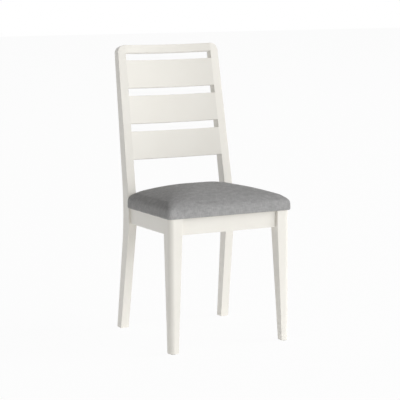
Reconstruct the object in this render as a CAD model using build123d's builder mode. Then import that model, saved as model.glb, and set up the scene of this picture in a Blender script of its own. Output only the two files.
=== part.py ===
"""Slat back dining chair: painted wooden frame, bowed slats and a screwed-on upholstered seat pad.

Millimetres. +Z is up, the sitter faces -Y, +X is on the right of someone who looks at the chair's front.
The origin is on the floor, at the middle of the chair's outline.
"""

import os
from math import atan2, cos, radians, sin, sqrt, tan

from build123d import *

# Overall sizes
OVERALL_HEIGHT = 1000.0
FRONT_WIDTH = 450.0  # over the outer faces of the front legs
POST_FOOT_INSET = 10.0  # post's outer face inside the front leg's, on the floor
POST_LEAN = 20.0  # that each post leans inwards, from the floor to the top of the back
SEAT_FRAME_HEIGHT = 453.0  # top of the seat frame at the front legs' front faces
SEAT_FRAME_DEPTH = 366.0  # front legs' front faces to the posts' front faces
SEAT_PITCH = 1.5  # degrees that the seat falls towards the back
BACK_RECLINE = 10.75  # degrees that the back leans
LEG_RAKE = 9.6  # degrees that the posts run backwards below the seat

# Front legs
LEG_WIDTH = 47.0
LEG_DEPTH = 45.0
LEG_FOOT_WIDTH = 30.5
LEG_FOOT_DEPTH = 27.0
LEG_CORNER_RADIUS = 17.0  # outer front corner

# Back posts
POST_WIDTH = 30.0
POST_FOOT_DEPTH = 33.0
POST_BEND_DEPTH = 40.0  # seat flat to the crossing of the two rear faces
POST_TOP_DEPTH = 29.0
POST_FRONT_BEND_RADIUS = 60.0
POST_REAR_BEND_RADIUS = 750.0
POST_TOP_RADIUS = 27.0  # outer top corner
POST_FLAT_MARGIN = 8.0  # flat that the side rail butts against, past the rail's edges

# Seat frame
RAIL_HEIGHT = 58.0
RAIL_THICKNESS = 22.0
RAIL_SETBACK = 12.0  # behind the faces of the legs and posts that the rail joins
SIDE_RAIL_REAR_INSET = 6.5  # inside the post's outer face
BLOCK_LENGTH = 45.0  # corner block's contact along each rail
BLOCK_HEIGHT = 38.0
BLOCK_DROP = 3.0  # below the top of the seat frame
BLOCK_CLEARANCE = 1.5  # to the leg or post in the corner

# Back
CREST_HEIGHT = 29.0
CREST_THICKNESS = 25.0
CREST_GAP = 25.0  # crest rail to upper slat
SLAT_HEIGHT = 98.0
SLAT_THICKNESS = 18.0
SLAT_GAP = 27.0
BACK_BOW = 15.5  # hollow of the crest rail and the slats at their middle
TENON_LENGTH = 12.0
TENON_THICKNESS = 9.0
TENON_SHOULDER = 6.0  # above and below each tenon
TENON_CLEARANCE = 0.2

# Seat pad
PAD_OVERHANG = 6.0  # past the front legs' front faces
PAD_FRONT_SIDE_OVERHANG = 7.0  # past the front legs' outer faces
PAD_REAR_SIDE_OVERHANG = 8.5  # past the posts' outer faces
PAD_EDGE_HEIGHT = 37.0
PAD_SHOULDER_RADIUS = 15.0
PAD_CROWN = 50.0  # above the edge
PAD_CROWN_POWER = 1.0
PAD_CORNER_RADIUS = 14.0
PAD_ROUNDING = 0.8  # how nearly round the crown's top is
PAD_TUCK = 5.0  # drawn in under the lower edge
PAD_TUCK_HEIGHT = 9.0
PAD_POST_CLEARANCE = 1.5
COVER_THICKNESS = 1.2
COVER_HEM = 66.0  # width of the cover turned under the board
BOARD_THICKNESS = 12.0
BOARD_INSET = 9.0  # inside the pad's outline
BOARD_NOTCH_INSET = 4.0  # inside the pad's notches round the posts
DUST_COVER_THICKNESS = 0.6
DUST_COVER_LAP = 8.0  # over the hem

# Fasteners and feet
DOWEL_DIAMETER = 8.0
DOWEL_LENGTH = 34.0
DOWEL_SPACING = 28.0
DOWEL_CLEARANCE = 0.1
DOWEL_CHAMFER = 1.0
SCREW_DIAMETER = 4.0
SCREW_HEAD_DIAMETER = 8.5
SCREW_HEAD_HEIGHT = 2.6
SCREW_HEAD_CROWN_DIAMETER = 5.6
SCREW_POINT = 4.0
SCREW_TIP_DIAMETER = 0.8
SCREW_RECESS = 1.4
SCREW_RECESS_LENGTH = 4.2
SCREW_RECESS_WIDTH = 0.9
SCREW_POCKET_CLEARANCE = 0.6
BLOCK_SCREW_WALL = 14.0  # block left under the head
BLOCK_SCREW_BITE = 15.0  # into the rail
SEAT_SCREW_BITE = 9.0  # into the seat board
STAPLE_CROWN = 10.0
STAPLE_WIRE = 1.0
STAPLE_LEG = 8.0
STAPLE_PITCH = 46.0
STAPLE_EDGE = 4.0  # inside the dust cover's edge
GLIDE_DIAMETER = 18.0
GLIDE_HEIGHT = 2.0
GLIDE_CHAMFER = 0.6
GLIDE_NAIL_DIAMETER = 3.0
GLIDE_NAIL_LENGTH = 16.0
EDGE_RADIUS = 1.5  # eased edges of the painted wood
FOOT_CHAMFER = 1.0

RECLINE = radians(BACK_RECLINE)
PITCH = radians(SEAT_PITCH)
POST_FOOT_SPREAD = FRONT_WIDTH - 2 * POST_FOOT_INSET  # over the outer faces of the posts
RIGHT, LEFT = 1, -1
NOTCH_ALIGN = {LEFT: Align.MAX, RIGHT: Align.MIN}
REACH = 2.0 * OVERALL_HEIGHT  # longer than any cut


def frame_fall(setback):
    """Height of the seat frame's top at a distance behind the front legs' front faces."""
    return SEAT_FRAME_HEIGHT - setback * tan(PITCH)


def half_spread(height):
    """Half the distance over the outer faces of the posts at a height."""
    return POST_FOOT_SPREAD / 2 - POST_LEAN * height / OVERALL_HEIGHT


def half_inside(height):
    """Half the clear distance between the posts at a height."""
    return half_spread(height) - POST_WIDTH


# Places along the chair's depth, from the chair's middle
FLAT_TOP = frame_fall(SEAT_FRAME_DEPTH) + POST_FLAT_MARGIN
FLAT_BOTTOM = frame_fall(SEAT_FRAME_DEPTH) - RAIL_HEIGHT - POST_FLAT_MARGIN
TOP_SETBACK = SEAT_FRAME_DEPTH + (OVERALL_HEIGHT - FLAT_TOP) * tan(RECLINE)
BACK_SETBACK = TOP_SETBACK + (BACK_BOW + CREST_THICKNESS) * cos(RECLINE)
FRONT_Y = -(BACK_SETBACK - PAD_OVERHANG) / 2
LEG_REAR_Y = FRONT_Y + LEG_DEPTH
POST_Y = FRONT_Y + SEAT_FRAME_DEPTH
POST_FOOT_Y = POST_Y + (FLAT_BOTTOM - GLIDE_HEIGHT) * tan(radians(LEG_RAKE))
TOP_Y = FRONT_Y + TOP_SETBACK
FRONT_RAIL_Y = FRONT_Y + RAIL_SETBACK
REAR_RAIL_Y = POST_Y + RAIL_SETBACK

# Places along the chair's width
LEG_OUTER_X = FRONT_WIDTH / 2
LEG_INNER_X = LEG_OUTER_X - LEG_WIDTH
SIDE_RAIL_FRONT_X = LEG_OUTER_X - RAIL_SETBACK
SIDE_RAIL_REAR_X = half_spread((FLAT_TOP + FLAT_BOTTOM) / 2) - SIDE_RAIL_REAR_INSET
RAIL_SPLAY = atan2(SIDE_RAIL_FRONT_X - SIDE_RAIL_REAR_X, POST_Y - LEG_REAR_Y)
RAIL_BOTTOM = SEAT_FRAME_HEIGHT - RAIL_HEIGHT

SEAT_PLANE = Plane(
    origin=(0, FRONT_Y, SEAT_FRAME_HEIGHT), x_dir=(1, 0, 0), z_dir=(0, sin(PITCH), cos(PITCH))
)


def side_rail_x(y, inner=False):
    """Side rail's outer or inner face at a place along the chair's depth."""
    share = (y - LEG_REAR_Y) / (POST_Y - LEG_REAR_Y)
    outer = SIDE_RAIL_FRONT_X + (SIDE_RAIL_REAR_X - SIDE_RAIL_FRONT_X) * share
    return outer - RAIL_THICKNESS / cos(RAIL_SPLAY) if inner else outer


def frame_top(y):
    """Height of the seat frame's top at a place along the chair's depth."""
    return frame_fall(y - FRONT_Y)


def back_point(drop, depth=0.0):
    """Y and Z of a point on the back: down from the top, and behind the posts' front faces."""
    y = TOP_Y - drop * sin(RECLINE) + depth * cos(RECLINE)
    z = OVERALL_HEIGHT - drop * cos(RECLINE) - depth * sin(RECLINE)
    return y, z


def finish(piece, name):
    """Name a finished piece and write it."""
    piece.label = name
    export_step(piece, f"parts/{name}.step")


def both_sides(piece, name):
    """Write a right-hand piece and its left-hand mirror image."""
    finish(piece, f"{name}_right")
    with BuildPart() as left:
        mirror(piece, about=Plane.YZ)
    finish(left.part, f"{name}_left")


os.makedirs("parts", exist_ok=True)

# Dowels of the seat frame, right-hand side: centre, direction and joint face of each
DOWEL_HEIGHTS = (-DOWEL_SPACING / 2, DOWEL_SPACING / 2)
FRONT_RAIL_MID_Y = FRONT_RAIL_Y + RAIL_THICKNESS / 2
REAR_RAIL_MID_Y = REAR_RAIL_Y + RAIL_THICKNESS / 2


def side_rail_mid_x(y):
    """Middle of the side rail's thickness."""
    return (side_rail_x(y) + side_rail_x(y, inner=True)) / 2


SPLAY_DIRECTION = (-sin(RAIL_SPLAY), cos(RAIL_SPLAY), 0)
DOWEL_JOINTS = [
    (LEG_INNER_X, FRONT_RAIL_MID_Y, frame_top(FRONT_RAIL_MID_Y), (1, 0, 0)),
    (side_rail_mid_x(LEG_REAR_Y), LEG_REAR_Y, frame_top(LEG_REAR_Y), SPLAY_DIRECTION),
    (side_rail_mid_x(POST_Y), POST_Y, frame_top(POST_Y), SPLAY_DIRECTION),
    (half_inside(frame_top(REAR_RAIL_MID_Y) - RAIL_HEIGHT / 2), REAR_RAIL_MID_Y,
     frame_top(REAR_RAIL_MID_Y), (1, 0, 0)),
]
DOWEL_PLANES = [
    Plane(origin=(x, y, top - RAIL_HEIGHT / 2 + rise), z_dir=direction)
    for x, y, top, direction in DOWEL_JOINTS
    for rise in DOWEL_HEIGHTS
]

with BuildPart() as dowels_right:
    for plane in DOWEL_PLANES:
        with BuildSketch(plane):
            Circle(DOWEL_DIAMETER / 2)
        extrude(amount=DOWEL_LENGTH / 2, both=True)
    chamfer(dowels_right.edges().filter_by(GeomType.CIRCLE), DOWEL_CHAMFER)

with BuildPart() as dowel_holes:
    for plane in DOWEL_PLANES:
        with BuildSketch(plane):
            Circle(DOWEL_DIAMETER / 2 + DOWEL_CLEARANCE)
        extrude(amount=DOWEL_LENGTH / 2 + DOWEL_CLEARANCE, both=True)
    mirror(dowel_holes.part, about=Plane.YZ)

with BuildPart() as rail_dowels:
    add(dowels_right.part)
    mirror(dowels_right.part, about=Plane.YZ)
finish(rail_dowels.part, "rail_dowels")

# Crest rail and slats: bowed bars with a stub tenon at each end
SLAT_DROPS = [CREST_HEIGHT + CREST_GAP + i * (SLAT_HEIGHT + SLAT_GAP) for i in range(3)]
BACK_BARS = {
    "crest_rail": (0.0, CREST_HEIGHT, CREST_THICKNESS),
    "upper_slat": (SLAT_DROPS[0], SLAT_HEIGHT, SLAT_THICKNESS),
    "middle_slat": (SLAT_DROPS[1], SLAT_HEIGHT, SLAT_THICKNESS),
    "lower_slat": (SLAT_DROPS[2], SLAT_HEIGHT, SLAT_THICKNESS),
}


def back_plane(drop):
    """Plane square to the back at a distance from its top: X across, Y backwards, Z up the back."""
    y, z = back_point(drop)
    return Plane(origin=(0, y, z), x_dir=(1, 0, 0), z_dir=(0, sin(RECLINE), cos(RECLINE)))


def inside_at(drop):
    """Half the clear distance between the posts at a distance from the back's top."""
    return half_inside(back_point(drop)[1])


def tenon(drop, height, thickness, clearance=0.0):
    """Pair of stub tenons, or with a clearance the mortises that hold them."""
    shoulder = inside_at(drop + height / 2)
    with BuildPart() as pair:
        with BuildSketch(back_plane(drop + height - TENON_SHOULDER + clearance)):
            with Locations((0, thickness / 2)):
                Rectangle(
                    2 * (shoulder + TENON_LENGTH + clearance), TENON_THICKNESS + 2 * clearance
                )
        extrude(amount=height - 2 * TENON_SHOULDER + 2 * clearance)
        with BuildSketch(back_plane(drop + height)):
            with Locations((0, thickness / 2)):
                Rectangle(2 * (shoulder - TENON_SHOULDER), 2 * thickness)
        extrude(amount=height, mode=Mode.SUBTRACT)
    return pair.part


def back_bar(drop, height, thickness):
    """Bowed bar between the posts, with its tenons."""
    shoulder = inside_at(drop + height / 2)
    radius = (shoulder**2 + BACK_BOW**2) / (2 * BACK_BOW)
    reach = shoulder + TENON_SHOULDER
    with BuildPart() as bar:
        with BuildSketch(back_plane(drop + height)):
            with Locations((0, BACK_BOW - radius)):
                Circle(radius + thickness)
                Circle(radius, mode=Mode.SUBTRACT)
            with Locations((0, thickness)):
                Rectangle(2 * reach, 4 * thickness, mode=Mode.INTERSECT)
        extrude(amount=height)
        fillet(bar.edges().filter_by(GeomType.CIRCLE), EDGE_RADIUS)
        low, high = back_point(drop + 2 * height)[1], back_point(drop - height)[1]
        with BuildSketch(Plane.XZ):
            Polygon(
                (-half_inside(low), low),
                (half_inside(low), low),
                (half_inside(high), high),
                (-half_inside(high), high),
                align=None,
            )
        extrude(amount=REACH, both=True, mode=Mode.INTERSECT)
        add(tenon(drop, height, thickness))
    return bar.part


for name, (drop, height, thickness) in BACK_BARS.items():
    finish(back_bar(drop, height, thickness), name)

# Foot glides: a disc under each foot, with a nail
GLIDE_PLACES = {
    "front": (LEG_OUTER_X - LEG_FOOT_WIDTH / 2, FRONT_Y + LEG_FOOT_DEPTH / 2),
    "rear": (half_spread(0) - POST_WIDTH / 2, POST_FOOT_Y + POST_FOOT_DEPTH / 2),
}


def glide(x, y):
    """Glide's disc and nail."""
    with BuildPart() as disc:
        with BuildSketch(Plane.XY):
            with Locations((x, y)):
                Circle(GLIDE_DIAMETER / 2)
        extrude(amount=GLIDE_HEIGHT)
        chamfer(disc.edges().group_by(Axis.Z)[0], GLIDE_CHAMFER)
        with BuildSketch(Plane.XY.offset(GLIDE_HEIGHT)):
            with Locations((x, y)):
                Circle(GLIDE_NAIL_DIAMETER / 2)
        extrude(amount=GLIDE_NAIL_LENGTH)
    return disc.part


for place, (x, y) in GLIDE_PLACES.items():
    both_sides(glide(x, y), f"{place}_glide")


# Front legs: square blanks, tapered on the inner and rear faces below the rails
def towards_outer_front(edge):
    """How far an edge of the right-hand leg is to the outside and the front."""
    return edge.center().X - edge.center().Y


with BuildPart() as front_leg:
    with BuildSketch(Plane.YZ.offset(LEG_INNER_X)):
        Polygon(
            (FRONT_Y, GLIDE_HEIGHT),
            (FRONT_Y, frame_top(FRONT_Y)),
            (LEG_REAR_Y, frame_top(LEG_REAR_Y)),
            (LEG_REAR_Y, frame_top(LEG_REAR_Y) - RAIL_HEIGHT),
            (FRONT_Y + LEG_FOOT_DEPTH, GLIDE_HEIGHT),
            align=None,
        )
    extrude(amount=LEG_WIDTH)
    with BuildSketch(Plane.XZ):
        Polygon(
            (LEG_INNER_X, 0),
            (LEG_OUTER_X - LEG_FOOT_WIDTH, 0),
            (LEG_OUTER_X - LEG_FOOT_WIDTH, GLIDE_HEIGHT),
            (LEG_INNER_X, RAIL_BOTTOM),
            align=None,
        )
    extrude(amount=REACH, both=True, mode=Mode.SUBTRACT)
    long_edges = front_leg.edges().filter_by(lambda e: e.bounding_box().size.Z > RAIL_HEIGHT / 2)
    fillet(long_edges.sort_by(towards_outer_front)[:-1], EDGE_RADIUS)
    fillet(front_leg.edges().sort_by(towards_outer_front)[-1], LEG_CORNER_RADIUS)
    chamfer(front_leg.edges().group_by(Axis.Z)[0], FOOT_CHAMFER)
    add(dowel_holes.part, mode=Mode.SUBTRACT)
    add(glide(*GLIDE_PLACES["front"]), mode=Mode.SUBTRACT)
both_sides(front_leg.part, "front_leg")

# Back posts: rear leg and upright in one piece, bent at the seat and leaning in towards the top
FLAT_MIDDLE = (FLAT_TOP + FLAT_BOTTOM) / 2
with BuildPart() as back_post:
    with BuildSketch(Plane.YZ):
        with BuildLine():
            foot_front = (POST_FOOT_Y, GLIDE_HEIGHT)
            foot_rear = (POST_FOOT_Y + POST_FOOT_DEPTH, GLIDE_HEIGHT)
            top_front = back_point(0)
            top_rear = back_point(0, POST_TOP_DEPTH)
            FilletPolyline(
                foot_front, (POST_Y, FLAT_BOTTOM), (POST_Y, FLAT_TOP), top_front,
                radius=POST_FRONT_BEND_RADIUS,
            )
            Line(top_front, top_rear)
            FilletPolyline(
                top_rear, (POST_Y + POST_BEND_DEPTH, FLAT_MIDDLE), foot_rear,
                radius=POST_REAR_BEND_RADIUS,
            )
            Line(foot_rear, foot_front)
        make_face()
    extrude(amount=POST_FOOT_SPREAD)
    with BuildSketch(Plane.XZ):
        Polygon(
            (half_inside(0), 0),
            (half_spread(0), 0),
            (half_spread(OVERALL_HEIGHT), OVERALL_HEIGHT),
            (half_inside(OVERALL_HEIGHT), OVERALL_HEIGHT),
            align=None,
        )
    extrude(amount=REACH, both=True, mode=Mode.INTERSECT)
    top_face = back_post.faces().sort_by(Axis.Z)[-1]
    fillet(top_face.edges().sort_by(Axis.X)[-1], POST_TOP_RADIUS)
    joint_face = back_post.faces().filter_by(lambda f: f.normal_at().X < -cos(RECLINE))[0]
    front_faces = back_post.faces().filter_by(lambda f: f.normal_at().Y < -cos(2 * RECLINE))
    flush_edges = joint_face.edges().filter_by(lambda e: any(e in f.edges() for f in front_faces))
    upright = back_post.edges().filter_by(
        lambda e: e.bounding_box().size.Z > EDGE_RADIUS and e.center().Z < OVERALL_HEIGHT - EDGE_RADIUS
    )
    fillet(upright.filter_by(lambda e: e not in flush_edges), EDGE_RADIUS)
    chamfer(back_post.edges().group_by(Axis.Z)[0], FOOT_CHAMFER)
    for drop, height, thickness in BACK_BARS.values():
        add(tenon(drop, height, thickness, TENON_CLEARANCE), mode=Mode.SUBTRACT)
    add(dowel_holes.part, mode=Mode.SUBTRACT)
    add(glide(*GLIDE_PLACES["rear"]), mode=Mode.SUBTRACT)
both_sides(back_post.part, "back_post")

# Corner blocks, right-hand side: notched round the leg or post, against two rails each
BLOCK_SIZES = {
    "front": (LEG_INNER_X, LEG_REAR_Y, FRONT_RAIL_Y + RAIL_THICKNESS, 1),
    "rear": (half_inside(frame_top(POST_Y)), POST_Y, REAR_RAIL_Y, -1),
}


class CornerBlock:
    """Outline, height and screw places of one right-hand corner block."""

    def __init__(self, corner_x, corner_y, rail_y, inwards):
        self.notch = (corner_x - BLOCK_CLEARANCE, corner_y + inwards * BLOCK_CLEARANCE)
        x, y = self.notch
        far_y = y + inwards * BLOCK_LENGTH
        self.outline = [
            (x - BLOCK_LENGTH, rail_y),
            (x, rail_y),
            self.notch,
            (side_rail_x(y, inner=True), y),
            (side_rail_x(far_y, inner=True), far_y),
        ]
        self.top = frame_top(max(rail_y, far_y)) - BLOCK_DROP
        self.bottom = self.top - BLOCK_HEIGHT
        middle = (self.top + self.bottom) / 2
        side_y = (y + far_y) / 2
        normal = Vector(cos(RAIL_SPLAY), sin(RAIL_SPLAY), 0)
        across = Vector(0, -inwards, 0)
        on_end_rail = Vector(x - BLOCK_LENGTH / 2, rail_y, middle)
        on_side_rail = Vector(side_rail_x(side_y, inner=True), side_y, middle)
        self.rail_screws = [
            Plane(origin=on_end_rail - across * BLOCK_SCREW_WALL, z_dir=across),
            Plane(origin=on_side_rail - normal * BLOCK_SCREW_WALL, z_dir=normal),
        ]
        self.seat_x = (x + self.outline[0][0] + self.outline[4][0]) / 3
        self.seat_y = (y + self.outline[0][1] + self.outline[4][1]) / 3
        board_bottom = frame_top(self.seat_y) + COVER_THICKNESS / cos(PITCH)
        self.seat_screw = Plane(origin=(self.seat_x, self.seat_y, self.bottom), z_dir=(0, 0, 1))
        self.seat_screw_length = board_bottom + SEAT_SCREW_BITE - self.bottom


BLOCKS = {place: CornerBlock(*sizes) for place, sizes in BLOCK_SIZES.items()}


def screw(plane, length):
    """Pan head wood screw: the plane lies under its head and its Z axis points along the shank."""
    base = (Align.CENTER, Align.CENTER, Align.MIN)
    with BuildPart(plane) as body:
        Cylinder(SCREW_DIAMETER / 2, length - SCREW_POINT, align=base)
        with Locations((0, 0, length - SCREW_POINT)):
            Cone(SCREW_DIAMETER / 2, SCREW_TIP_DIAMETER / 2, SCREW_POINT, align=base)
        with Locations((0, 0, -SCREW_HEAD_HEIGHT)):
            Cone(SCREW_HEAD_CROWN_DIAMETER / 2, SCREW_HEAD_DIAMETER / 2, SCREW_HEAD_HEIGHT, align=base)
            Box(SCREW_RECESS_LENGTH, SCREW_RECESS_WIDTH, SCREW_RECESS, align=base, mode=Mode.SUBTRACT)
            Box(SCREW_RECESS_WIDTH, SCREW_RECESS_LENGTH, SCREW_RECESS, align=base, mode=Mode.SUBTRACT)
    return body.part


def screw_pocket(plane):
    """Room for a screw's head, from under the head outwards."""
    with BuildPart() as pocket:
        with BuildSketch(plane):
            Circle(SCREW_HEAD_DIAMETER / 2 + SCREW_POCKET_CLEARANCE)
        extrude(amount=-BLOCK_LENGTH)
    return pocket.part


with BuildPart() as corner_block_screws:
    for block in BLOCKS.values():
        for plane in block.rail_screws:
            add(screw(plane, BLOCK_SCREW_WALL + BLOCK_SCREW_BITE))
    mirror(corner_block_screws.part, about=Plane.YZ)
finish(corner_block_screws.part, "corner_block_screws")

with BuildPart() as seat_screws:
    for block in BLOCKS.values():
        add(screw(block.seat_screw, block.seat_screw_length))
    mirror(seat_screws.part, about=Plane.YZ)
finish(seat_screws.part, "seat_screws")

for place, block in BLOCKS.items():
    with BuildPart() as corner_block:
        with BuildSketch(Plane.XY.offset(block.bottom)):
            Polygon(*block.outline, align=None)
        extrude(amount=BLOCK_HEIGHT)
        for plane in block.rail_screws:
            add(screw_pocket(plane), mode=Mode.SUBTRACT)
        add(corner_block_screws.part, mode=Mode.SUBTRACT)
        add(seat_screws.part, mode=Mode.SUBTRACT)
    both_sides(corner_block.part, f"{place}_corner_block")


# Seat rails
def rail_section(front_y):
    """Side view of a cross rail: upright, with its top in line with the seat frame."""
    bottom = frame_top(front_y) - RAIL_HEIGHT
    rear_y = front_y + RAIL_THICKNESS
    return Polygon(
        (front_y, bottom), (rear_y, bottom), (rear_y, frame_top(rear_y)), (front_y, frame_top(front_y)),
        align=None,
    )


def lower_edges(piece):
    """Long lower edges of a rail."""
    return piece.edges().filter_by(lambda e: e.length > FRONT_WIDTH / 2).sort_by(Axis.Z)[:2]


with BuildPart() as front_rail:
    with BuildSketch(Plane.YZ):
        rail_section(FRONT_RAIL_Y)
    extrude(amount=LEG_INNER_X, both=True)
    fillet(lower_edges(front_rail), EDGE_RADIUS)
    add(dowel_holes.part, mode=Mode.SUBTRACT)
    add(corner_block_screws.part, mode=Mode.SUBTRACT)
finish(front_rail.part, "front_rail")

with BuildPart() as rear_rail:
    with BuildSketch(Plane.YZ):
        rail_section(REAR_RAIL_Y)
    extrude(amount=POST_FOOT_SPREAD, both=True)
    fillet(lower_edges(rear_rail), EDGE_RADIUS)
    with BuildSketch(Plane.XZ):
        Polygon(
            (-half_inside(0), 0),
            (half_inside(0), 0),
            (half_inside(OVERALL_HEIGHT), OVERALL_HEIGHT),
            (-half_inside(OVERALL_HEIGHT), OVERALL_HEIGHT),
            align=None,
        )
    extrude(amount=REACH, both=True, mode=Mode.INTERSECT)
    add(dowel_holes.part, mode=Mode.SUBTRACT)
    add(corner_block_screws.part, mode=Mode.SUBTRACT)
finish(rear_rail.part, "rear_rail")

with BuildPart() as side_rail:
    with BuildSketch(Plane.YZ):
        Polygon(
            (LEG_REAR_Y, frame_top(LEG_REAR_Y) - RAIL_HEIGHT),
            (POST_Y, frame_top(POST_Y) - RAIL_HEIGHT),
            (POST_Y, frame_top(POST_Y)),
            (LEG_REAR_Y, frame_top(LEG_REAR_Y)),
            align=None,
        )
    extrude(amount=FRONT_WIDTH)
    with BuildSketch(Plane.XY):
        Polygon(
            (side_rail_x(LEG_REAR_Y), LEG_REAR_Y),
            (side_rail_x(POST_Y), POST_Y),
            (side_rail_x(POST_Y, inner=True), POST_Y),
            (side_rail_x(LEG_REAR_Y, inner=True), LEG_REAR_Y),
            align=None,
        )
    extrude(amount=REACH, mode=Mode.INTERSECT)
    fillet(lower_edges(side_rail), EDGE_RADIUS)
    add(dowel_holes.part, mode=Mode.SUBTRACT)
    add(corner_block_screws.part, mode=Mode.SUBTRACT)
both_sides(side_rail.part, "side_rail")

# Seat pad, drawn on the seat plane: X across, Y back from the front legs' front faces, Z off the frame
PAD_FRONT = -PAD_OVERHANG
PAD_REAR = SEAT_FRAME_DEPTH + RAIL_SETBACK + RAIL_THICKNESS
PAD_HALF_DEPTH = (PAD_REAR - PAD_FRONT) / 2
PAD_FRONT_HALF = LEG_OUTER_X + PAD_FRONT_SIDE_OVERHANG
PAD_REAR_HALF = half_spread(frame_top(POST_Y)) + PAD_REAR_SIDE_OVERHANG
PAD_REACH = min(PAD_HALF_DEPTH, PAD_REAR_HALF)  # from the outline in to the crown's top
PAD_NOTCH_X = half_inside(frame_top(POST_Y) + PAD_EDGE_HEIGHT + PAD_CROWN) - PAD_POST_CLEARANCE
PAD_NOTCH_Y = SEAT_FRAME_DEPTH - PAD_POST_CLEARANCE
PAD_SPLAY = atan2(PAD_FRONT_HALF - PAD_REAR_HALF, SEAT_FRAME_DEPTH)
PAD_LEVELS = (0.0, 0.006, 0.02, 0.043, 0.07, 0.12, 0.19, 0.28, 0.4, 0.55, 0.73, 0.92)  # share of the way in


def pad_half(setback):
    """Half the pad's width at a distance behind the front legs' front faces."""
    return PAD_FRONT_HALF - setback * tan(PAD_SPLAY)


def pad_height(inset):
    """Height of the pad's crown at a distance in from its outline."""
    share = inset / PAD_REACH
    inside = PAD_SHOULDER_RADIUS - min(inset, PAD_SHOULDER_RADIUS)
    shoulder = sqrt(PAD_SHOULDER_RADIUS**2 - inside**2)
    crown = PAD_CROWN * (1 - (1 - share) ** 2) ** PAD_CROWN_POWER
    return PAD_EDGE_HEIGHT - PAD_SHOULDER_RADIUS + shoulder + crown


def pad_outline(inset):
    """Pad's outline drawn in by an inset, with its corners rounder further in."""
    front, rear = PAD_FRONT + inset, PAD_REAR - inset
    side = inset / cos(PAD_SPLAY)
    share = inset / PAD_REACH
    radius = PAD_CORNER_RADIUS * (1 - share) + PAD_ROUNDING * (PAD_REACH - inset) * share
    corners = [
        (pad_half(front) - side, front),
        (pad_half(rear) - side, rear),
        (side - pad_half(rear), rear),
        (side - pad_half(front), front),
    ]
    with BuildSketch(mode=Mode.PRIVATE) as outline:
        Polygon(*corners, align=None)
        fillet(outline.vertices(), radius)
    return outline.sketch


def post_notches(growth):
    """Cuts that clear the posts, grown for the layers under the cover."""
    with BuildPart() as cuts:
        with BuildSketch(SEAT_PLANE):
            for side in (LEFT, RIGHT):
                with Locations((side * (PAD_NOTCH_X - growth), PAD_NOTCH_Y - growth)):
                    Rectangle(FRONT_WIDTH, FRONT_WIDTH, align=(NOTCH_ALIGN[side], Align.MIN))
        extrude(amount=OVERALL_HEIGHT, both=True)
    return cuts.part


def pad_form(growth):
    """Crowned form of the pad, its layers drawn in by a growth from the cover's outer face."""
    peak = pad_height(PAD_REACH)
    levels = [(0.0, PAD_TUCK), (PAD_TUCK_HEIGHT, 0.0)]
    levels += [(pad_height(share * PAD_REACH), share * PAD_REACH) for share in PAD_LEVELS]
    with BuildPart() as form:
        for height, inset in levels:
            level = growth + height * (peak - 2 * growth) / peak
            with BuildSketch(SEAT_PLANE.offset(level)):
                add(pad_outline(inset + growth))
        loft(ruled=True)
        add(post_notches(growth), mode=Mode.SUBTRACT)
    return form.part


def flat_layer(inset, bottom, thickness):
    """Flat sheet with the pad's outline drawn in."""
    with BuildPart() as layer:
        with BuildSketch(SEAT_PLANE.offset(bottom)):
            add(pad_outline(inset))
        extrude(amount=thickness)
    return layer.part


cover_inside = pad_form(COVER_THICKNESS)
hem_opening = flat_layer(COVER_HEM, 0.0, COVER_THICKNESS)

with BuildPart() as board_form:
    add(flat_layer(BOARD_INSET, COVER_THICKNESS, BOARD_THICKNESS))
    add(post_notches(BOARD_NOTCH_INSET), mode=Mode.SUBTRACT)

# Staples along the dust cover's edge, through the hem into the board
with BuildPart(SEAT_PLANE) as dust_cover_staples:
    staple_line = pad_outline(COVER_HEM - DUST_COVER_LAP + STAPLE_EDGE)
    for edge in staple_line.edges().filter_by(GeomType.LINE):
        count = int(edge.length // STAPLE_PITCH)
        for i in range(count):
            at = edge.position_at((i + 0.5) / count)
            along = edge.tangent_at(0.5)
            turn = along.get_signed_angle(Vector(1, 0, 0), Vector(0, 0, -1))
            with Locations(Location((at.X, at.Y, -DUST_COVER_THICKNESS), (0, 0, turn))):
                Box(STAPLE_CROWN, STAPLE_WIRE, STAPLE_WIRE, align=(Align.CENTER, Align.CENTER, Align.MAX))
                with GridLocations(STAPLE_CROWN - STAPLE_WIRE, 0, 2, 1):
                    Box(STAPLE_WIRE, STAPLE_WIRE, STAPLE_LEG, align=(Align.CENTER, Align.CENTER, Align.MIN))
finish(dust_cover_staples.part, "dust_cover_staples")

with BuildPart() as seat_cover:
    add(pad_form(0.0))
    add(cover_inside, mode=Mode.SUBTRACT)
    add(hem_opening, mode=Mode.SUBTRACT)
    add(seat_screws.part, mode=Mode.SUBTRACT)
    add(dust_cover_staples.part, mode=Mode.SUBTRACT)
finish(seat_cover.part, "seat_cover")

with BuildPart() as seat_foam:
    add(cover_inside)
    add(board_form.part, mode=Mode.SUBTRACT)
finish(seat_foam.part, "seat_foam")

with BuildPart() as seat_board:
    add(board_form.part)
    add(seat_screws.part, mode=Mode.SUBTRACT)
    add(dust_cover_staples.part, mode=Mode.SUBTRACT)
finish(seat_board.part, "seat_board")

with BuildPart() as dust_cover:
    add(flat_layer(COVER_HEM - DUST_COVER_LAP, -DUST_COVER_THICKNESS, DUST_COVER_THICKNESS))
    add(dust_cover_staples.part, mode=Mode.SUBTRACT)
finish(dust_cover.part, "dust_cover")
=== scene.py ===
"""Slat back dining chair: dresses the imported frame, upholsters the seat pad and sets the studio.

Metres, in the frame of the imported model: +Z is up and the sitter faces -Y.
"""

import logging
from dataclasses import dataclass
from enum import Enum
from math import cos, pi, radians, sin, sqrt, tan

import bmesh
import bpy
from mathutils import Matrix, Vector


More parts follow.
